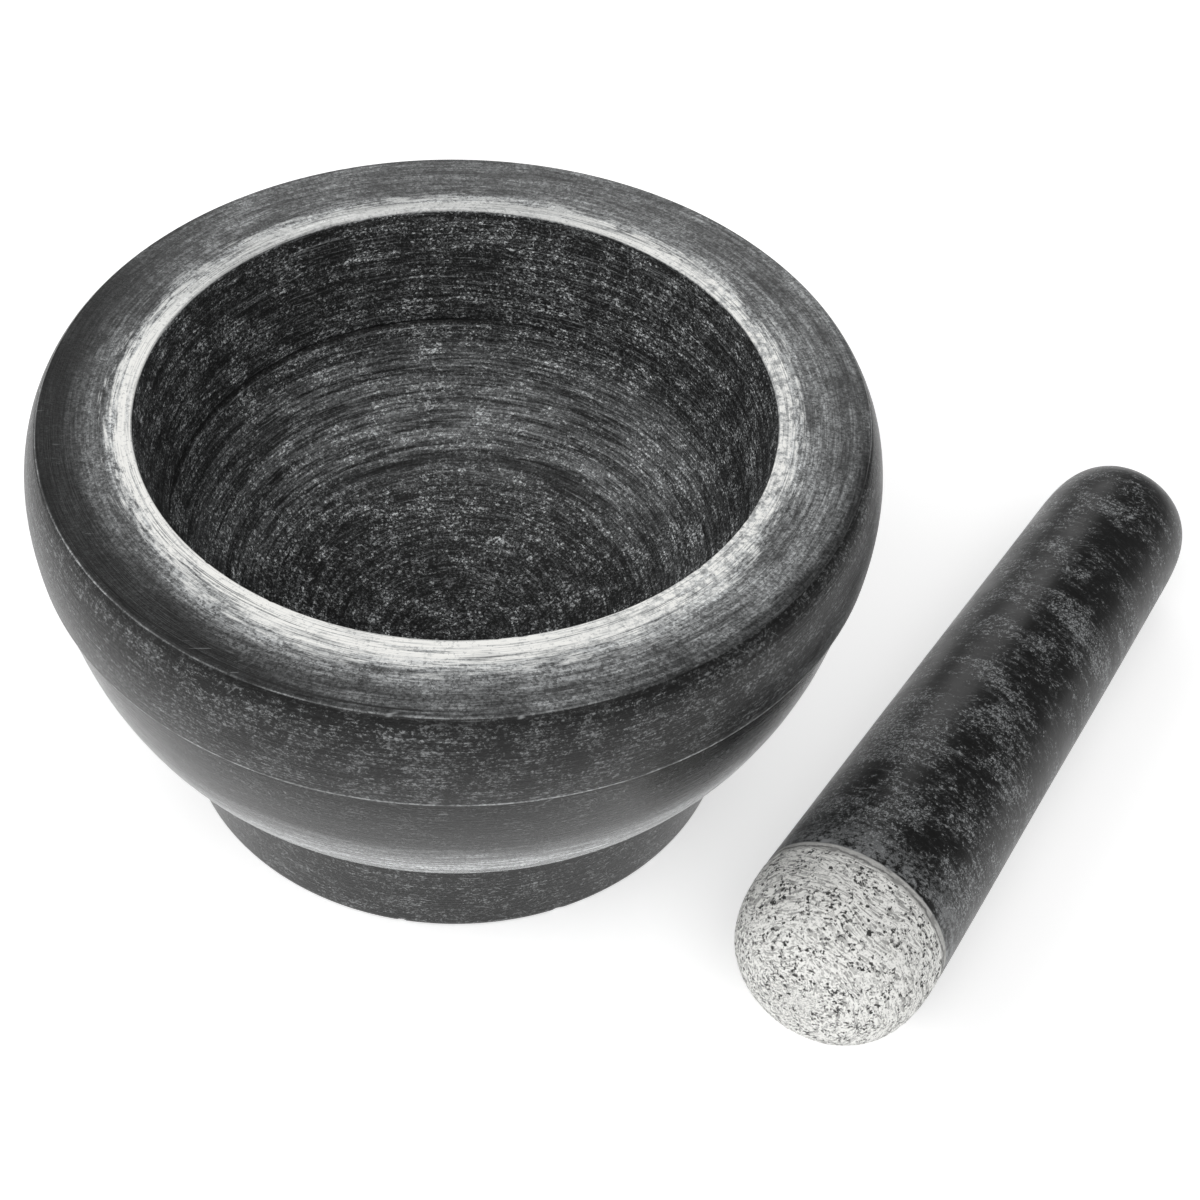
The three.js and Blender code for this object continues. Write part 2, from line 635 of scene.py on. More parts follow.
    def fade(
        self, value: Socket, low: Number, high: Number, start: Number = 0.0, end: Number = 1.0
    ) -> Socket:
        """A smooth change as a value goes from one level to another.

        Args:
            value: the value that drives it.
            low: the level where the change starts.
            high: the level where it ends; lower than `low` turns it round.
            start: the result up to `low`.
            end: the result from `high` on.

        Returns:
            The changing number.
        """
        made = self.node("ShaderNodeMapRange", interpolation_type="SMOOTHSTEP")
        for name, given in zip(
            ("Value", "From Min", "From Max", "To Min", "To Max"), (value, low, high, start, end)
        ):
            self.feed(made.inputs[name], given)
        return made.outputs[0]

    def spread(self, noise: Socket, start: Number = 0.0, end: Number = 1.0) -> Socket:
        """The usual range of a noise, turned into `start` to `end`."""
        return self.fade(noise, *NOISE_RANGE, start, end)

    def band(self, value: Socket, centre: Number, half: float, soft: float) -> Socket:
        """1 near a level of a value, and 0 away from it.

        Args:
            value: the value that drives it.
            centre: the level in the middle of the band.
            half: how far the full effect reaches either way.
            soft: how much more it takes to fade out.

        Returns:
            The effect, 0 to 1.
        """
        away = self.math("ABSOLUTE", self.minus(value, centre))
        return self.fade(away, half, half + soft, 1.0, 0.0)

    def blend(self, share: Number, first: Number, second: Number) -> Socket:
        """A number part of the way between two others.

        Args:
            share: how far along it is, 0 to 1.
            first: the number at 0.
            second: the number at 1.

        Returns:
            The blended number.
        """
        made = self.node("ShaderNodeMix", data_type="FLOAT")
        for name, given in zip(("Factor", "A", "B"), (share, first, second)):
            self.feed(made.inputs[name], given)
        return made.outputs[0]

    def tinted(self, share: Socket, first: tuple, second: tuple) -> Socket:
        """A colour part of the way between two tints.

        Args:
            share: how far along it is, 0 to 1.
            first: the red, green and blue at 0.
            second: the red, green and blue at 1.

        Returns:
            The colour.
        """
        made = self.node("ShaderNodeMix", data_type="RGBA")
        factor, colours = made.inputs[0], made.inputs[6:8]
        self.feed(factor, share)
        for socket, tint in zip(colours, (first, second)):
            self.feed(socket, (*tint, 1.0))
        return made.outputs[2]

    def times_colour(self, colour: Socket, value: Socket) -> Socket:
        """A colour scaled by a number.

        Args:
            colour: the colour.
            value: the number.

        Returns:
            The scaled colour.
        """
        made = self.node("ShaderNodeVectorMath", operation="SCALE")
        self.feed(made.inputs[0], colour)
        self.feed(made.inputs["Scale"], value)
        return made.outputs[0]

    def bump(self, height: Socket, depth: float) -> Socket:
        """A normal tilted by a height map.

        Args:
            height: the map, 0 to 1.
            depth: what 1 stands for, in millimetres.

        Returns:
            The new normal.
        """
        made = self.node("ShaderNodeBump")
        made.inputs["Strength"].default_value = 1.0
        made.inputs["Distance"].default_value = depth * MM
        self.feed(made.inputs["Height"], height)
        return made.outputs[0]


# ---------------------------------------------------------------- finishes


@dataclass(frozen=True)
class Face:
    """The mortar's surface as its finish reads it: places on it, and textures of about 0 to 1.

    `along` and `track` are the place on the turning, `place` is the point itself, and `starts` is
    where each stretch of the outline starts, in millimetres along it.
    """

    along: Socket
    track: Socket
    place: Socket
    starts: dict[str, float]
    clouds: Socket
    patches: Socket
    hairlines: Socket
    streaks: Socket
    grains: Socket
    flecks: Socket
    scrapes: Socket


@dataclass(frozen=True)
class MortarFinish:
    """Turned charcoal stone: soft gloss outside, granular inside, worn pale and painted with a highlight
    round the mouth.

    The tones are how much light the bare stone gives back, before gloss, save those standing in for painted
    reflections and highlights. The sides are where marks of use lie, and where painted shade, highlights
    and reflections fall.
    """

    polished: float = 0.006
    hazed: float = 0.038
    brushed: float = 0.082
    hollow: float = 0.012
    scoured: float = 0.14
    grain: float = 0.42
    dust: float = 0.095
    # painted reflection: the tone of the bright table seen low on the lower band
    painted_reflection: float = 0.50
    # the pale of scrapes and chips, and of the painted highlight lines
    line: float = 0.24
    smear: float = 0.34
    # the pale of the worn ring, which also carries a painted highlight on the rounded lip
    ring_and_highlight_pale: float = 0.98
    cool: tuple[float, float, float] = (0.97, 1.0, 1.01)
    warm: tuple[float, float, float] = (1.0, 0.995, 0.96)
    ior: float = 1.38
    bump_depth: float = 0.16

    clouds: Texture = Texture(0.05, 3.0, 0.6)
    patches: Texture = Texture(0.16, 5.0, 0.76)
    hairlines: Texture = Texture((2.6, 5.0, 5.0), 2.0, 0.8)
    streaks: Texture = Texture((0.8, 2.6, 2.6), 4.0, 0.75)
    flecks: Texture = Texture((1.0, 1.0, 1.6), 3.0, 0.85)
    scrapes: Texture = Texture((0.2, 2.4, 0.7), 2.0, 0.6)
    smears: Texture = Texture((0.35, 3.2, 3.2), 5.0, 0.75)
    ring_edge: Texture = Texture((0.7, 8.0, 8.0), 5.0, 0.78)
    ring_blotches: Texture = Texture((0.6, 34.0, 34.0), 4.0, 0.7)
    ring_scratches: Texture = Texture((2.4, 2.6, 2.6), 3.0, 0.8)
    coarse_grit: Grit = Grit((2.6, 2.6, 3.6), 0.9, 2.2)
    fine_grit: Grit = Grit((3.6, 3.6, 3.6), 0.7, 1.4)

    hazy_side: Side = Side(226.0, 40.0, 55.0)
    # where the painted reflection low on the lower band is strongest
    painted_reflection_side: Side = Side(284.0, 34.0, 30.0)
    rubbed_side: Side = Side(322.0, 16.0, 22.0)
    plain_side: Side = Side(190.0, 25.0, 15.0)
    smeared_side: Side = Side(284.0, 36.0, 40.0)
    right_smear_side: Side = Side(350.0, 20.0, 40.0)
    # where painted shade darkens the outer few millimetres of the rim
    painted_shade_side: Side = Side(326.0, 12.0, 24.0)
    # where painted shade darkens the outer half of the rim
    outer_rim_shade_side: Side = Side(200.0, 34.0, 40.0)
    scored_side: Side = Side(232.0, 28.0, 22.0)
    far_wall: Side = Side(85.0, 36.0, 40.0)
    # where the painted highlight under the step at the foot of the wall lies
    step_highlight_side: Side = Side(130.0, 34.0, 24.0)
    wide_ring_side: Side = Side(276.0, 26.0, 34.0)
    faint_ring_side: Side = Side(108.0, 26.0, 36.0)
    blotched_ring_side: Side = Side(350.0, 35.0, 35.0)

    def material(self, starts: dict[str, float]) -> bpy.types.Material:
        """Makes the stone's material.

        Args:
            starts: where each stretch of the outline starts, in millimetres along it.

        Returns:
            The material.
        """
        g = Graph("mortar_stone_finish")
        face = self._face(g, starts)
        inside = g.fade(face.along, starts["wall"] - 0.1, starts["wall"] + 0.5)
        topside = g.fade(face.along, starts["edge"] + 0.2, starts["rim"] + 0.2)
        on_rim = g.times(topside, g.opposite(inside))

        tone = self._outer(g, face)
        tone = g.blend(on_rim, tone, self._rim(g, face))
        tone = g.blend(inside, tone, self._bowl(g, face))
        lined = g.spread(face.hairlines, g.blend(inside, 0.62, 0.6), g.blend(inside, 1.5, 1.45))
        grainy = g.fade(face.grains, 0.0, 1.0, 0.5, 1.5)
        tone = g.times(tone, lined, grainy, g.spread(face.streaks, 0.62, 1.45))
        scraped = g.times(g.fade(face.scrapes, 0.64, 0.72), g.fade(face.clouds, 0.44, 0.56), 0.5)
        tone = g.blend(g.times(scraped, g.opposite(inside)), tone, self.line)
        # pale where chipped, and painted shade in the tool furrows
        tone = g.worn(tone, self.line)

        # the worn ring by the mouth, with its painted highlight
        ring = self._worn_ring_and_highlight(g, face)
        tone = g.blend(ring, tone, self.ring_and_highlight_pale)
        colour = g.times_colour(g.tinted(ring, self.cool, self.warm), tone)
        g.feed(g.shader.inputs["Base Color"], colour)
        self._surface(g, face, inside, on_rim, ring)
        return g.material

    def _face(self, g: Graph, starts: dict[str, float]) -> Face:
        """Lays out the places and textures that the rest of the finish reads.

        Args:
            g: the material's graph.
            starts: where each stretch of the outline starts, in millimetres along it.

        Returns:
            The places and textures.
        """
        along, track = g.track()
        place = g.place()
        return Face(
            along=along,
            track=track,
            place=place,
            starts=starts,
            clouds=g.noise(place, self.clouds),
            patches=g.noise(place, self.patches),
            hairlines=g.noise(track, self.hairlines),
            streaks=g.noise(track, self.streaks),
            grains=g.grains(place, self.coarse_grit),
            flecks=g.noise(place, self.flecks),
            scrapes=g.noise(place, self.scrapes),
        )

    def _surface(self, g: Graph, face: Face, inside: Socket, on_rim: Socket, ring: Socket) -> None:
        """Sets the gloss and the fine relief: smooth bands outside, an open grain in the bowl.

        Args:
            g: the material's graph.
            face: places and textures on the stone.
            inside: 1 in the bowl.
            on_rim: 1 on the rim.
            ring: 1 where the rim is worn pale and painted with a highlight.
        """
        starts = face.starts
        low = g.fade(face.along, starts["groove"] - 1.0, starts["groove_top"], 1.0, 0.0)
        rough = g.blend(inside, g.blend(on_rim, g.blend(low, 0.32, 0.2), 0.42), 0.5)
        rough = g.blend(ring, rough, 0.6)
        rough = g.plus(rough, g.spread(face.patches, -0.03, 0.05))
        g.feed(g.shader.inputs["Roughness"], rough)
        g.shader.inputs["IOR"].default_value = self.ior

        outer = g.blend(low, 0.55, 0.4)
        relief = g.times(face.flecks, g.blend(inside, g.blend(on_rim, outer, 0.4), 1.7))
        relief = g.plus(relief, g.times(face.hairlines, g.blend(inside, outer, 0.6)))
        g.feed(g.shader.inputs["Normal"], g.bump(relief, self.bump_depth))

    def _outer(self, g: Graph, face: Face) -> Socket:
        """The tone of the foot and the two bands: hazy, dusty, brushed, with painted reflection and
        highlights.

        Args:
            g: the material's graph.
            face: places and textures on the stone.

        Returns:
            The tone.
        """
        starts = face.starts
        left = g.towards(face.track, self.hazy_side)
        front = g.towards(face.track, self.painted_reflection_side)
        upper = g.fade(face.along, starts["groove"], starts["groove_top"])
        foot = g.fade(face.along, starts["low_band"] - 0.3, starts["low_band"] + 0.3, 1.0, 0.0)

        ragged = g.plus(face.patches, g.spread(face.flecks, -0.16, 0.16))
        ragged = g.plus(ragged, g.spread(face.hairlines, -0.05, 0.05))
        share = g.most(g.blend(upper, 0.15, g.blend(left, 0.75, 1.0)), g.times(foot, 0.5))
        tone = g.blend(g.times(g.fade(ragged, 0.44, 0.66), share), self.polished, self.hazed)
        dusty = g.fade(g.plus(face.grains, g.spread(ragged, -0.35, 0.2)), 0.6, 1.1)
        share = g.most(g.blend(upper, 0.35, g.blend(left, 0.8, 1.0)), foot)
        tone = g.blend(g.times(dusty, share), tone, self.dust)

        # painted reflection of the bright table near the bottom of the lower band, streaked along the
        # brushing
        climb = g.minus(face.along, starts["low_band"])
        brushed = g.times(g.fade(climb, 34.0, 18.0), g.fade(face.streaks, 0.25, 0.75, 0.5, 1.0))
        brushed = g.times(brushed, g.blend(front, 0.25, 1.0))
        lines = g.spread(face.hairlines, 0.75, 1.0)
        brushed = g.times(brushed, g.opposite(foot), lines)
        tone = g.blend(brushed, tone, self.painted_reflection)
        tone = g.times(tone, self._edge_shade(g, face, left))
        # painted highlight lines on the crease and the band's lower edge, over the painted groove shade
        return g.blend(self._painted_highlight_lines(g, face), g.times(tone, self._groove_shade(g, face)), self.line)

    def _edge_shade(self, g: Graph, face: Face, left: Socket) -> Socket:
        """How much darker the upper band is in a ragged strip just under the rim's edge.

        Args:
            g: the material's graph.
            face: places and textures on the stone.
            left: 1 on the hazy side, where the strip is narrower and darker.

        Returns:
            What the tone is multiplied by.
        """
        reach = g.plus(g.blend(left, 0.7, 0.5), g.spread(face.streaks, -0.4, 0.4))
        under = g.minus(face.starts["edge"], face.along)
        shade = g.fade(under, reach, g.plus(reach, 1.0), 1.0, 0.0)
        return g.blend(shade, 1.0, g.blend(left, 0.7, 0.4))

    def _groove_shade(self, g: Graph, face: Face) -> Socket:
        """How much darker the tone is in the groove between the bands."""
        hollowed = g.band(face.along, face.starts["groove_top"] - 0.1, 0.6, 0.2)
        return g.blend(hollowed, 1.0, 0.3)

    def _painted_highlight_lines(self, g: Graph, face: Face) -> Socket:
        """Where painted highlights run as broken pale lines: on the rim's crease and the upper band's lower
        edge.

        Args:
            g: the material's graph.
            face: places and textures on the stone.

        Returns:
            The strength of the lines, 0 to 1.
        """
        broken = g.fade(face.patches, 0.38, 0.56, 0.3, 1.0)
        rubbed = g.opposite(g.times(g.towards(face.track, self.rubbed_side), 0.85))
        # painted highlight along the rim's outer crease, fading where the edge is rubbed down
        crease = g.times(g.band(face.along, face.starts["edge"] + 0.5, 0.08, 0.14), broken, rubbed, 0.85)
        fresh = g.opposite(g.towards(face.track, self.plain_side))
        # painted reflection of the bright table along the upper band's lower edge
        lower = g.times(g.band(face.along, face.starts["high_band"] + 0.18, 0.16, 0.16), fresh, broken)
        return g.most(crease, lower)

    def _rim(self, g: Graph, face: Face) -> Socket:
        """The tone of the rim's brushed top: smeared pale beside the ring, painted shade at parts of its
        edge.

        Args:
            g: the material's graph.
            face: places and textures on the stone.

        Returns:
            The tone.
        """
        across = g.minus(face.along, face.starts["rim"])
        tone = g.blend(g.spread(face.clouds), self.brushed, self.brushed * 1.4)
        smears = g.noise(face.track, self.smears)
        tone = g.times(tone, g.spread(smears, 0.55, 1.6))
        tone = g.times(tone, g.spread(face.patches, 0.6, 1.45))
        tone = g.times(tone, g.spread(face.flecks, 0.6, 1.4))

        front = g.towards(face.track, self.smeared_side)
        right = g.towards(face.track, self.right_smear_side)
        # painted shade over the outer few millimetres of the rim on the right front
        shade = g.times(g.towards(face.track, self.painted_shade_side), g.fade(across, 0.5, 4.0, 1.0, 0.0), 0.6)
        # painted shade over the outer half of the rim on the left
        outer_rim_shade = g.times(g.towards(face.track, self.outer_rim_shade_side), g.fade(across, 3.0, 12.0, 1.0, 0.0), 0.88)
        tone = g.times(tone, g.opposite(shade), g.opposite(outer_rim_shade))

        # the pale smears reach from the mouth out towards the outer edge at the front and the right
        far = g.blend(g.most(front, g.times(right, 0.6)), 10.5, 1.0)
        pale = g.fade(across, far, 14.0)
        pale = g.times(pale, g.fade(smears, 0.38, 0.60, 0.15, 1.0), g.fade(face.grains, 0.0, 0.8, 0.5, 1.0))
        tone = g.blend(pale, tone, self.smear)
        scored = g.times(g.band(across, 0.9, 0.12, 0.16), g.towards(face.track, self.scored_side), 0.75)
        return g.times(tone, g.opposite(scored))

    def _bowl(self, g: Graph, face: Face) -> Socket:
        """The hollow's tone: dark and granular, scoured smoother half way down, with a painted highlight
        below the step.

        Args:
            g: the material's graph.
            face: places and textures on the stone.

        Returns:
            The tone.
        """
        down = g.minus(face.along, face.starts["bowl"])
        back = g.towards(face.track, self.far_wall)
        scour = g.times(g.band(down, 19.0, 6.0, 13.0), g.fade(face.streaks, 0.34, 0.60))
        tone = g.blend(g.times(scour, g.blend(back, 0.3, 1.0)), self.hollow, self.scoured)

        grit = g.grains(face.place, self.fine_grit)
        crowd = g.fade(face.patches, 0.34, 0.64, -0.2, 0.12)
        crowd = g.plus(crowd, g.spread(face.streaks, -0.1, 0.1))
        crowd = g.plus(crowd, g.spread(face.flecks, -0.12, 0.12))
        fine = g.fade(g.plus(grit, crowd), 0.40, 1.2)
        coarse = g.times(g.fade(g.plus(face.grains, crowd), 0.82, 1.08), 0.85)
        lines = g.times(g.fade(face.hairlines, 0.54, 0.70), g.blend(back, 0.1, 0.25))
        lit = g.most(g.times(fine, 0.42), coarse, lines)

        # painted highlight: a pale line just below the step at the foot of the wall
        step = g.times(g.band(down, 1.15, 0.08, 0.2), g.towards(face.track, self.step_highlight_side), 0.45)
        step = g.times(step, g.fade(face.patches, 0.38, 0.6, 0.15, 1.0))
        pits = g.fade(face.flecks, 0.30, 0.44, 0.4, 1.0)
        return g.times(g.blend(g.most(lit, step), tone, self.grain), pits)

    def _worn_ring_and_highlight(self, g: Graph, face: Face) -> Socket:
        """Where the rim is pale by the mouth, worn and with a painted highlight, with dark scratches left
        in it.

        Args:
            g: the material's graph.
            face: places and textures on the stone.

        Returns:
            How pale it is, 0 to 1.
        """
        away = g.minus(face.starts["wall"], face.along)
        front = g.towards(face.track, self.wide_ring_side)
        back = g.towards(face.track, self.faint_ring_side)
        right = g.towards(face.track, self.blotched_ring_side)
        ragged = g.noise(face.track, self.ring_edge)
        # painted highlight: the ring reaches further out at the front
        reach = g.plus(g.blend(front, 5.6, 9.4), g.fade(ragged, 0.25, 0.75, -4.0, 4.0))
        ring = g.fade(g.math("DIVIDE", away, reach), 0.42, 1.05, 1.0, 0.0)
        ring = g.times(ring, g.fade(away, -0.1, 0.15))

        blotchy = g.fade(g.noise(face.track, self.ring_blotches), 0.40, 0.58, 0.3, 1.0)
        # painted highlight: the ring is fainter at the back
        ring = g.times(ring, g.blend(back, 1.0, 0.6), g.blend(right, 1.0, blotchy))
        scratches = g.noise(face.track, self.ring_scratches)
        ring = g.times(ring, g.fade(scratches, 0.40, 0.48, g.fade(away, 1.0, 4.0, 0.45, 0.1), 1.0))
        ring = g.times(ring, g.fade(face.hairlines, 0.34, 0.44, 0.65, 1.0))
        ring = g.times(ring, g.fade(face.grains, 0.0, 0.2, 0.7, 1.0))
        return g.math("ADD", ring, 0.0, clamp=True)


@dataclass(frozen=True)
class PestleFinish:
    """Charcoal stone rubbed smooth in the hand, with a pale, scratched grinding end."""

    polished: float = 0.004
    rubbed: float = 0.042
    dust: float = 0.28
    pale: float = 0.93
    speck: float = 0.05
    smooth_edge: float = 0.5
    cool: tuple[float, float, float] = (0.97, 1.0, 1.015)
    warm: tuple[float, float, float] = (1.0, 0.995, 0.965)
    gloss: float = 0.32
    ior: float = 1.35
    bump_depth: float = 0.14

    patches: Texture = Texture(0.09, 5.0, 0.76)
    flecks: Texture = Texture(1.2, 3.0, 0.85)
    slanted: Texture = Texture((1.1, 2.4, 2.4), 5.0, 0.8)
    bands: Texture = Texture((0.14, 0.9, 0.9), 3.0, 0.6)
    scrapes: Texture = Texture((0.4, 2.4, 1.0), 2.0, 0.6)
    strokes: Texture = Texture((1.6, 0.9, 0.9), 3.0, 0.8)
    clusters: Texture = Texture(0.4, 4.0, 0.75)
    grit: Grit = Grit((3.4, 3.4, 3.4), 0.8, 2.0)
    lodged: Grit = Grit((2.2, 2.2, 2.2), 0.9, 1.4)
    sweep: Grit = Grit((1.0, 10.0, 10.0), 0.12, 7.0)
    scratch_packing: tuple[float, float, float] = (3.3, 1.3, 1.3)

    def material(self, starts: dict[str, float]) -> bpy.types.Material:
        """Makes the stone's material.

        Args:
            starts: where each stretch of the outline starts, in millimetres along it.

        Returns:
            The material.
        """
        g = Graph("pestle_stone_finish")
        along, track = g.track()
        place = g.place()
        patches = g.noise(place, self.patches)
        grains = g.grains(place, self.grit)
        flecks = g.noise(place, self.flecks)
        beyond = g.minus(along, starts["shaft"])

        tone = self._shaft(g, beyond, track, place, (patches, grains, flecks))
        ground = g.fade(beyond, -0.25, 0.15, 1.0, 0.0)
        tone = g.blend(ground, tone, self._pecked(g, beyond, track, place, grains))
        seam = g.band(beyond, g.spread(patches, -1.6, -0.6), 0.08, 0.25)
        tone = g.times(tone, g.blend(g.times(seam, 0.8), 1.0, 0.25))
        tone = g.worn(tone, self.dust)
        colour = g.times_colour(g.tinted(ground, self.cool, self.warm), tone)
        g.feed(g.shader.inputs["Base Color"], colour)

        worn = g.fade(patches, 0.35, 0.65, self.gloss - 0.04, self.gloss + 0.10)
        g.feed(g.shader.inputs["Roughness"], g.blend(ground, worn, 0.8))
        g.shader.inputs["IOR"].default_value = self.ior
        relief = g.times(flecks, g.blend(ground, 0.25, 1.4))
        g.feed(g.shader.inputs["Normal"], g.bump(relief, self.bump_depth))
        return g.material

    def _shaft(
        self, g: Graph, beyond: Socket, track: Socket, place: Socket, textures: tuple[Socket, ...]
    ) -> Socket:
        """The tone of the shaft and handle: near black, with dusty patches, strokes and scrapes.

        Args:
            g: the material's graph.
            beyond: how far past the grinding end it is, in millimetres.
            track: the track vector.
            place: the point itself.
            textures: the patches, grains and flecks.

        Returns:
            The tone.
        """
        patches, grains, flecks = textures
        slanted = g.noise(track, self.slanted)
        bands = g.noise(track, self.bands)
        ragged = g.plus(patches, g.spread(flecks, -0.14, 0.14))
        ragged = g.plus(ragged, g.spread(slanted, -0.07, 0.07))
        ragged = g.plus(ragged, g.spread(bands, -0.09, 0.09))
        tone = g.blend(g.fade(ragged, 0.42, 0.68), self.polished, self.rubbed)
        tone = g.times(tone, g.spread(slanted, 0.4, 1.7))

        dusty = g.fade(g.plus(grains, g.fade(ragged, 0.36, 0.68, -0.6, 0.2)), 0.62, 1.08)
        strokes = g.times(g.fade(slanted, 0.56, 0.70), g.fade(patches, 0.38, 0.60), 0.4)
        scuffed = g.times(g.fade(beyond, 0.0, 10.0, 0.6, 0.0), g.fade(ragged, 0.40, 0.62))
        scrapes = g.noise(place, self.scrapes)
        scrapes = g.times(g.fade(scrapes, 0.62, 0.70), g.fade(bands, 0.42, 0.56), 0.45)
        return g.blend(g.most(dusty, strokes, scrapes, scuffed), tone, self.dust)

    def _pecked(
        self, g: Graph, beyond: Socket, track: Socket, place: Socket, grains: Socket
    ) -> Socket:
        """The tone of the grinding end: chalky, with short curved scratches and dark specks.

        Args:
            g: the material's graph.
            beyond: how far past the grinding end it is, in millimetres.
            track: the track vector.
            place: the point itself.
            grains: the stone's fine grains.

        Returns:
            The tone.
        """
        swept = g.jostled(g.scaled(track, self.sweep.packing), self.sweep.waves, self.sweep.shake)
        scratches = g.crystals(g.scaled(swept, self.scratch_packing))
        strokes = g.noise(swept, self.strokes)
        clusters = g.noise(place, self.clusters)
        crowd = g.fade(clusters, 0.38, 0.60, -0.2, 0.16)
        crowd = g.plus(crowd, g.fade(strokes, 0.35, 0.65, 0.12, -0.12))
        lodged = g.grains(place, self.lodged)
        dark = g.fade(g.plus(lodged, crowd), 0.78, 0.96)
        tone = g.times(g.fade(scratches, 0.0, 0.5, 0.45, 1.0), g.fade(grains, 0.0, 0.3, 0.6, 1.0))
        tone = g.blend(dark, g.times(tone, self.pale), self.speck)
        tone = g.times(tone, g.fade(strokes, 0.3, 0.5, 0.6, 1.0))
        rimmed = g.fade(beyond, -2.2, -1.4)
        return g.blend(rimmed, tone, g.times(g.fade(strokes, 0.3, 0.6, 0.7, 1.1), self.smooth_edge))


# ---------------------------------------------------------------- the two stones


@dataclass
class Mortar:
    """The mortar: one turned block with a foot, two bands, a level rim and a deep bowl.

    `allowance` is how far the whole surface lies inside the true outline, so that no unevenness
    stands past it. The `rubbed` fields are the place where the rim's edge is worn down.
    """

    belly_radius: float
    rim_height: float
    foot_radius: float = 55.6
    foot_flare: float = 1.6
    foot_height: float = 23.5
    foot_bevel: float = 0.8
    band_bottom: float = 66.0
    shoulder_inset: float = 8.2
    shoulder_rise: float = 6.0
    lower_lip_inset: float = 1.8
    lower_lip_lean: float = 1.2
    lower_lip_rise: float = 12.0
    upper_lip_inset: float = 0.5
    groove_width: float = 1.0
    groove_depth: float = 0.4
    edge_inset: float = 2.8
    edge_bevel: float = 0.7
    rim_crown: float = 0.3
    rim_width: float = 17.8
    mouth_rounding: float = 0.5
    wall_depth: float = 25.0
    wall_lean: float = 4.8
    floor_thickness: float = 22.0
    bulge_share: float = 0.65
    allowance: float = 0.06
    rubbed_depth: float = 1.1
    rubbed_reach: float = 5.0
    rubbed_bearing: float = 322.0
    rubbed_halves: tuple[float, float] = (42.0, 16.0)
    spokes: int = 560
    wobble: Ripple = Ripple(height=0.02, around=2.0, along=0.004, waves=12, seed=11)
    tooling: Ripple = Ripple(height=0.010, around=1.2, along=0.30, waves=40, seed=23)
    pecking: Ripple = Ripple(height=0.045, around=130.0, along=0.30, waves=120, seed=37)
    bowl_tooling: float = 2.5

    def outline(self) -> Outline:
        """Draws the turning outline.

        Returns:
            The outline, from the middle of the underside to the middle of the floor.
        """
        foot_top = (self.foot_radius + self.foot_flare, self.foot_height)
        lower_lip = (self.belly_radius - self.lower_lip_inset, self.band_bottom - self.groove_width)
        upper_lip = (self.belly_radius - self.upper_lip_inset, self.band_bottom)
        edge = (self.belly_radius - self.edge_inset, self.rim_height - self.edge_bevel)
        bulge = self.belly_radius + math.sqrt(self.upper_lip_inset * self.edge_inset)
        mouth = self.belly_radius - self.edge_inset - self.rim_width
        lip = mouth + self.mouth_rounding
        crown = ((edge[0] - self.edge_bevel + lip) / 2, self.rim_height + self.rim_crown)
        turn = np.linspace(0.0, math.pi / 2, 12)
        wall_foot = (mouth - self.wall_lean, self.rim_height - self.wall_depth)
        fall = CIRCLE_HANDLE * (wall_foot[1] - self.floor_thickness)

        made = Outline()
        underside = [(0.0, 0.0), (self.foot_radius - self.foot_bevel, 0.0)]
        made.add("underside", underside, spacing=6.0, corner=0.8)
        made.add("foot_edge", [(self.foot_radius, self.foot_bevel)], spacing=0.4)
        made.add("foot", [foot_top], spacing=2.2, corner=0.5)
        low = bezier(
            foot_top,
            (self.belly_radius - self.shoulder_inset, self.foot_height + self.shoulder_rise),
            (lower_lip[0] - self.lower_lip_lean, lower_lip[1] - self.lower_lip_rise),
            lower_lip,
        )
        made.add("low_band", low[1:], spacing=2.0, corner=0.35)
        groove = (lower_lip[0] - self.groove_depth, self.band_bottom - self.groove_width / 2)
        made.add("groove", [groove], spacing=0.25)
        made.add("groove_top", [upper_lip], spacing=0.25)
        bulge_height = upper_lip[1] + self.bulge_share * (edge[1] - upper_lip[1])
        high = bezier(upper_lip, (bulge, bulge_height), edge)
        made.add("high_band", high[1:], spacing=1.5, corner=0.22)
        made.add("edge", [(edge[0] - self.edge_bevel, self.rim_height)], spacing=0.3)
        flat = bezier((edge[0] - self.edge_bevel, self.rim_height), crown, (lip, self.rim_height))
        made.add("rim", flat[1:], spacing=1.3, corner=0.22)
        rounding = np.c_[
            lip - self.mouth_rounding * np.sin(turn),
            self.rim_height - self.mouth_rounding * (1 - np.cos(turn)),
        ]
        made.add("lip", rounding[1:], spacing=0.16, corner=0.16)
        made.add("wall", [wall_foot], spacing=1.8, corner=0.22)
        bowl = bezier(
            wall_foot,
            (wall_foot[0] - fall * self.wall_lean / self.wall_depth, wall_foot[1] - fall),
            (CIRCLE_HANDLE * wall_foot[0], self.floor_thickness),
            (0.0, self.floor_thickness),
        )
        made.add("bowl", bowl[1:], spacing=1.9, corner=0.35)
        return made

    def tool_marks(self, starts: dict[str, float]) -> tuple[ToolMark, ...]:
        """The furrows in the bowl, the first of them the step at the foot of its wall.

        Args:
            starts: where each stretch of the outline starts, in millimetres along it.

        Returns:
            The tool marks.
        """
        wall, bowl = starts["wall"], starts["bowl"]
        return (
            ToolMark(bowl, width=1.5, depth=0.45, bearing=134.0, sweep=120.0),
            ToolMark(bowl + 12.0, width=2.4, depth=0.22, bearing=112.0, sweep=90.0),
            ToolMark(bowl + 30.0, width=2.6, depth=0.28, bearing=88.0, sweep=130.0),
            ToolMark(wall + 12.0, width=2.0, depth=0.16, bearing=62.0, sweep=90.0),
            ToolMark(wall + 1.0, width=1.0, depth=0.12, bearing=30.0, sweep=200.0),
        )

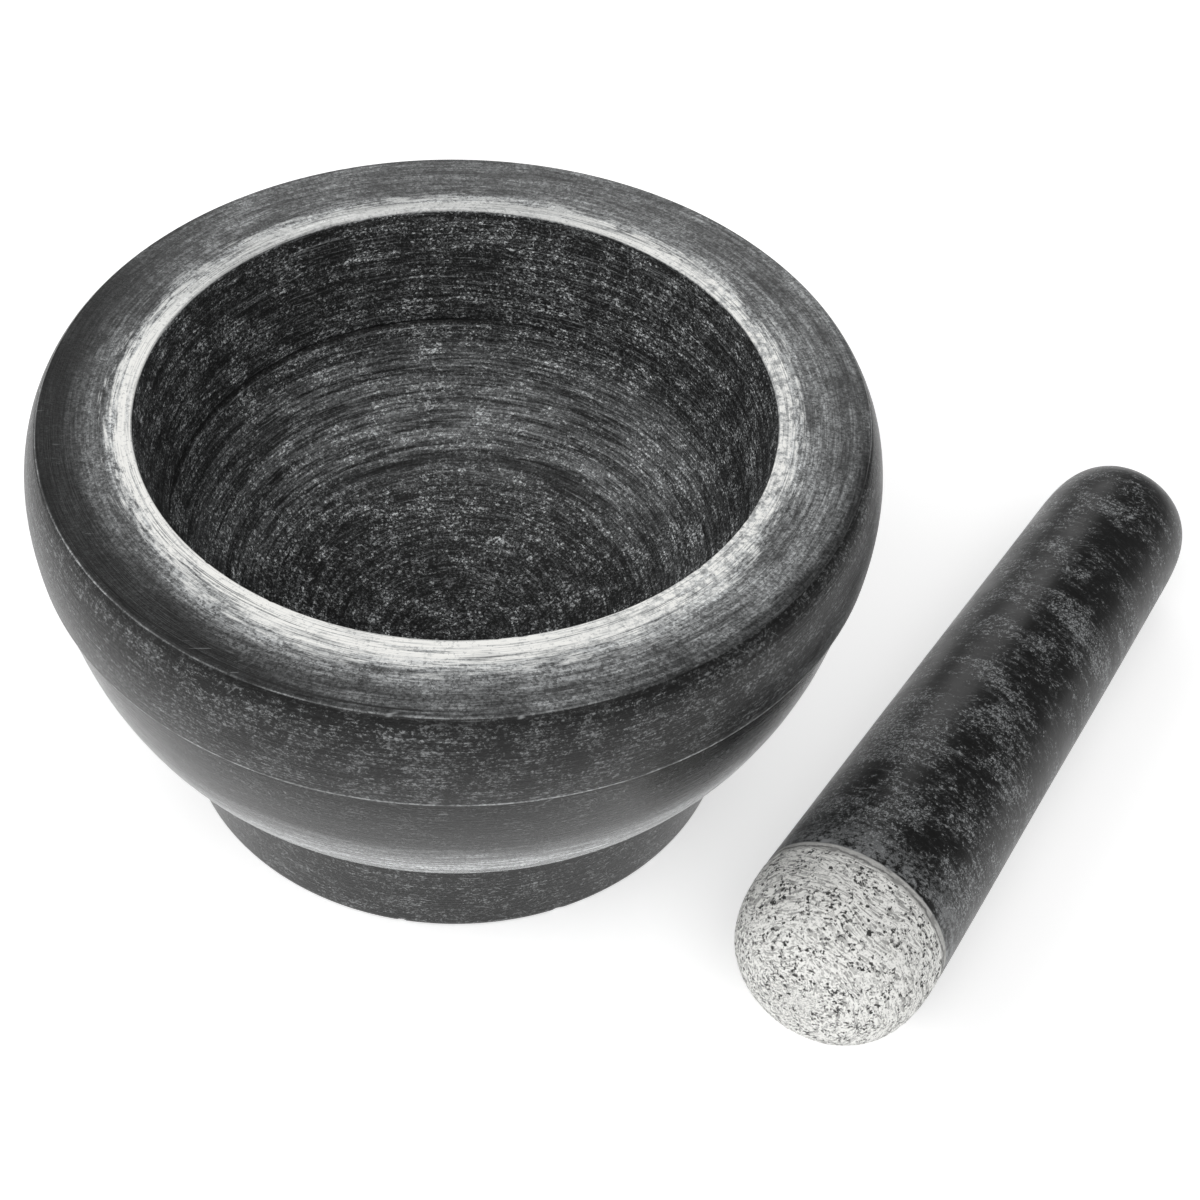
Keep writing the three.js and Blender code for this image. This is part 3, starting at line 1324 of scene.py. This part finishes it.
    def chips(self, starts: dict[str, float]) -> tuple[Nicks, ...]:
        """The chips in the rim's outer edge, in the mouth's lip and in the foot's edge.

        Args:
            starts: where each stretch of the outline starts, in millimetres along it.

        Returns:
            The chips, one set for each edge.
        """
        return (
            Nicks(26, starts["edge"] + 0.4, spread=0.35, size=(0.2, 0.45), depth=0.14, seed=5),
            Nicks(30, starts["lip"] + 0.3, spread=0.3, size=(0.25, 0.5), depth=0.16, seed=17),
            Nicks(18, starts["foot_edge"], spread=0.5, size=(0.4, 1.0), depth=0.35, seed=29),
        )

    def relief(self, outline: Outline) -> tuple[np.ndarray, np.ndarray]:
        """Roughens the surface: unevenness, tool marks, chips and the rubbed place on the rim.

        Args:
            outline: the turning outline.

        Returns:
            How far it stands off the true outline, in millimetres, and its knocks and painted furrow shade.
        """
        points, along, _ = outline.arrays()
        angle = spoke_angles(self.spokes)
        starts = outline.starts
        wobble = self.wobble.over(along, angle)
        tooling = self.tooling.over(along, angle)
        pecking = self.pecking.over(along, angle)
        within = smooth(along, starts["wall"], starts["wall"] + 3.0)[:, None]
        height = wobble + tooling * (1.0 + self.bowl_tooling * within) + pecking * within - self.allowance
        turn = np.abs(turn_from(angle, math.radians(self.rubbed_bearing)))
        side = smooth(np.degrees(turn), *self.rubbed_halves)
        near = 1.0 - np.abs(along - starts["rim"] + 0.5) / self.rubbed_reach
        height -= self.rubbed_depth * (np.clip(near, 0.0, None) ** 2)[:, None] * side[None, :]
        # the tool furrows, cut into the surface and also darkened with painted shade
        furrows = np.zeros_like(height)
        for mark in self.tool_marks(starts):
            furrows += mark.over(along, angle)
        cuts = np.zeros_like(height)
        for nicks in self.chips(starts):
            cuts = np.minimum(cuts, nicks.over(along, angle, points[:, 0]))
        firm = smooth(along, 0.0, starts["foot_edge"] - 1.0)[:, None]
        fading = smooth(points[:, 0], 0.0, 6.0)[:, None]
        wear_and_shade = smooth(-cuts, *CHIP_SHOWS) - smooth(-furrows, *FURROW_SHADE_SHOWS)
        return (np.minimum(height, 0.0) + cuts + furrows) * firm * fading, wear_and_shade

    def build(self) -> bpy.types.Object:
        """Makes and dresses the mortar.

        Returns:
            The finished object.
        """
        outline = self.outline()
        relief, wear_and_shade = self.relief(outline)
        piece = turned_mesh("mortar_stone", outline, relief, wear_and_shade, Matrix.Identity(4))
        piece.data.materials.append(MortarFinish().material(outline.starts))
        settle(piece, Piece.MORTAR)
        return piece


@dataclass
class Pestle:
    """The pestle: a tapered bar lying on its flank beside the mortar.

    Its two radii are those of the straight taper carried on to each tip. `gap` is the clear space
    beside the mortar, and `lead` is how far the grinding tip lies ahead of the nearest place.
    """

    mortar_radius: float
    length: float = 161.0
    grinding_radius: float = 19.7
    grinding_dome: float = 22.3
    grinding_squareness: float = 2.76
    handle_radius: float = 15.5
    handle_dome: float = 21.6
    handle_squareness: float = 3.77
    gap: float = 0.5
    turn: float = math.radians(33.4)
    lead: float = 39.6
    allowance: float = 0.09
    spokes: int = 220
    dome_steps: int = 80
    wobble: Ripple = Ripple(height=0.03, around=2.0, along=0.008, waves=12, seed=41)
    pecking: Ripple = Ripple(height=0.035, around=70.0, along=0.6, waves=90, seed=43)

    def radius_at(self, along: np.ndarray) -> np.ndarray:
        """The straight taper's radius at a distance from the grinding tip."""
        return self.grinding_radius + (self.handle_radius - self.grinding_radius) * along / self.length

    def dome(self, depth: float, squareness: float) -> tuple[np.ndarray, np.ndarray]:
        """Rounds an end.

        Args:
            depth: how long the rounding is.
            squareness: 2 makes an ellipse, and more makes it blunter.

        Returns:
            Depths below the tip, and the share of the full radius at each.
        """
        angle = np.linspace(0.0, math.pi / 2, self.dome_steps)
        power = 2 / squareness
        return depth * (1 - np.cos(angle) ** power), np.sin(angle) ** power

    def outline(self) -> Outline:
        """Draws the turning outline.

        Returns:
            The outline, from the grinding tip to the handle tip.
        """
        near, near_share = self.dome(self.grinding_dome, self.grinding_squareness)
        far, far_share = self.dome(self.handle_dome, self.handle_squareness)
        far = self.length - far
        made = Outline()
        made.add("grinding", np.c_[near_share * self.radius_at(near), near], spacing=0.7)
        made.add("shaft", [(self.radius_at(far[-1]), far[-1])], spacing=1.2)
        made.add("handle", np.c_[far_share * self.radius_at(far), far][::-1][1:], spacing=0.8)
        return made

    def relief(self, outline: Outline) -> tuple[np.ndarray, np.ndarray]:
        """Roughens the surface: unevenness, a pecked end with a turned seam, and chips.

        Args:
            outline: the turning outline.

        Returns:
            How far the surface stands off the true outline, in millimetres, and its wear.
        """
        points, along, _ = outline.arrays()
        angle = spoke_angles(self.spokes)
        shaft, handle = outline.starts["shaft"], outline.starts["handle"]
        wobble = self.wobble.over(along, angle)
        pecking = self.pecking.over(along, angle)
        ground = smooth(along, shaft - 1.2, shaft - 2.4)[:, None]
        height = np.minimum(wobble + pecking * ground - self.allowance, 0.0)
        seam = ToolMark(shaft - 1.1, width=0.8, depth=0.15, bearing=90.0, sweep=720.0)
        height += seam.over(along, angle)
        cuts = np.zeros_like(height)
        for nicks in (
            Nicks(30, shaft - 0.6, spread=0.8, size=(0.25, 0.7), depth=0.2, seed=47),
            Nicks(10, handle + 2.0, spread=4.0, size=(0.3, 0.7), depth=0.15, seed=53),
        ):
            cuts += nicks.over(along, angle, points[:, 0])
        fading = smooth(points[:, 0], 0.0, 3.0)[:, None]
        return (height + cuts) * fading, smooth(-cuts, *CHIP_SHOWS)

    def resting_place(self) -> Matrix:
        """Works out where the pestle lies.

        Returns:
            The placing of its own frame, which has the grinding tip at the origin and +Z along it.
        """
        lean = math.atan((self.grinding_radius - self.handle_radius) / self.length)
        heading = Vector((math.sin(self.turn), math.cos(self.turn), 0.0))
        outward = Vector((heading.y, -heading.x, 0.0))
        axis = heading * math.cos(lean) - Vector((0.0, 0.0, math.sin(lean)))
        under = axis.cross(outward)
        clear = self.mortar_radius + self.gap + float(self.radius_at(np.array(self.lead)))
        tip = outward * clear - heading * self.lead
        tip.z = self.grinding_radius * math.cos(lean)
        turned = Matrix((outward, under, axis)).transposed().to_4x4()
        return Matrix.Translation(tip * MM) @ turned

    def build(self) -> bpy.types.Object:
        """Makes and dresses the pestle.

        Returns:
            The finished object.
        """
        outline = self.outline()
        relief, wear_and_shade = self.relief(outline)
        piece = turned_mesh("pestle_stone", outline, relief, wear_and_shade, self.resting_place())
        piece.data.materials.append(PestleFinish().material(outline.starts))
        settle(piece, Piece.PESTLE)
        return piece


def settle(piece: bpy.types.Object, stone: Piece) -> None:
    """Lets a finished stone stand for its CAD node and ride on that node's body.

    Args:
        piece: the finished object.
        stone: which stone it is.
    """
    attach(piece, stone.value)
    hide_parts(stone.value)


# ---------------------------------------------------------------- studio


@dataclass(frozen=True)
class SoftBox:
    """One soft box that faces the mortar.

    `bearing` turns from the back (+Y) to the right, in degrees; lengths are in metres.
    """

    name: str
    bearing: float
    elevation: float
    reach: float
    wide: float
    tall: float
    glow: float

    def hang(self, aim: Vector) -> None:
        """Hangs the box and points it at the object.

        Args:
            aim: the point it faces.
        """
        data = bpy.data.lights.new(self.name, "AREA")
        data.shape = "RECTANGLE"
        data.size = self.wide
        data.size_y = self.tall
        data.energy = self.glow * math.pi * self.wide * self.tall
        box = bpy.data.objects.new(self.name, data)
        turn, lift = math.radians(self.bearing), math.radians(self.elevation)
        out = Vector((math.sin(turn) * math.cos(lift), math.cos(turn) * math.cos(lift), math.sin(lift)))
        box.location = aim + out * self.reach
        box.rotation_euler = (-out).to_track_quat("-Z", "Y").to_euler()
        bpy.context.scene.collection.objects.link(box)


@dataclass
class Studio:
    """A pale glowing table, a few soft boxes in a dim room, and the camera.

    Heights and distances are in millimetres, the table's size is in metres, and `shift_up` is a
    share of the view's width.
    """

    aim_height: float = 38.6
    distance: float = 478.9
    pitch: float = math.radians(45.55)
    yaw: float = math.radians(3.38)
    lens: float = 72.2
    shift_up: float = -0.0146
    table_size: float = 6.0
    table_tone: tuple[float, float, float, float] = (0.86, 0.86, 0.86, 1.0)
    table_glow: float = 0.48
    sky: float = 0.30
    white: tuple[float, float, float, float] = (1.0, 1.0, 1.0, 1.0)

    def camera(self) -> None:
        """Places the camera above and in front, looking down into the bowl."""
        data = bpy.data.cameras.new("view")
        data.lens = self.lens
        data.sensor_width = 36.0
        data.shift_y = self.shift_up
        data.clip_end = 100.0
        view = bpy.data.objects.new("view", data)
        tilt = Euler((math.pi / 2 - self.pitch, 0.0, 0.0)).to_matrix()
        view.rotation_euler = (tilt @ Matrix.Rotation(-self.yaw, 3, "Y")).to_euler()
        back = Vector((0.0, -math.cos(self.pitch), math.sin(self.pitch)))
        view.location = (Vector((0.0, 0.0, self.aim_height)) + back * self.distance) * MM
        bpy.context.scene.collection.objects.link(view)
        bpy.context.scene.camera = view

    def table(self) -> None:
        """Lays a wide, pale, matt top that glows a little, so that shadows on it stay faint."""
        half = self.table_size / 2
        mesh = bpy.data.meshes.new("table")
        corners = [(x, y, 0.0) for x, y in ((-half, -half), (half, -half), (half, half), (-half, half))]
        mesh.from_pydata(corners, [], [(0, 1, 2, 3)])
        g = Graph("table_top")
        g.shader.inputs["Base Color"].default_value = self.table_tone
        g.shader.inputs["Roughness"].default_value = 0.9
        g.shader.inputs["Specular IOR Level"].default_value = 0.0
        g.shader.inputs["Emission Color"].default_value = self.white
        g.shader.inputs["Emission Strength"].default_value = self.table_glow
        mesh.materials.append(g.material)
        table = bpy.data.objects.new("table", mesh)
        bpy.context.scene.collection.objects.link(table)

    def light(self) -> None:
        """Fills the room with dim even light and hangs the soft boxes."""
        world = bpy.data.worlds.new("room")
        world.use_nodes = True
        background = world.node_tree.nodes["Background"]
        background.inputs["Color"].default_value = self.white
        background.inputs["Strength"].default_value = self.sky
        bpy.context.scene.world = world
        aim = Vector((0.0, 0.0, self.aim_height * MM))
        for box in (
            SoftBox("back_box", bearing=4.0, elevation=32.0, reach=1.2, wide=0.70, tall=0.55, glow=2.1),
            SoftBox("front_box", bearing=180.0, elevation=52.0, reach=1.3, wide=1.3, tall=0.9, glow=2.3),
            SoftBox("left_box", bearing=-95.0, elevation=38.0, reach=1.2, wide=0.9, tall=0.8, glow=2.0),
        ):
            box.hang(aim)

    def build(self) -> None:
        """Sets the whole studio up, camera first."""
        self.camera()
        self.table()
        self.light()
        bpy.context.scene.view_settings.view_transform = "Standard"


def main() -> None:
    """Builds the studio, then each stone, and reports each piece."""
    logging.basicConfig(level=logging.INFO, format="%(name)s: %(message)s")
    Studio().build()
    low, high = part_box(Piece.MORTAR.value)
    belly = round(high.x / MM, 1)
    mortar = Mortar(belly_radius=belly, rim_height=round(high.z / MM, 1) - Mortar.rim_crown)
    for stone in (mortar, Pestle(mortar_radius=belly)):
        piece = stone.build()
        log.info("%s: %d faces", piece.name, len(piece.data.polygons))


if __name__ == "__main__":
    main()
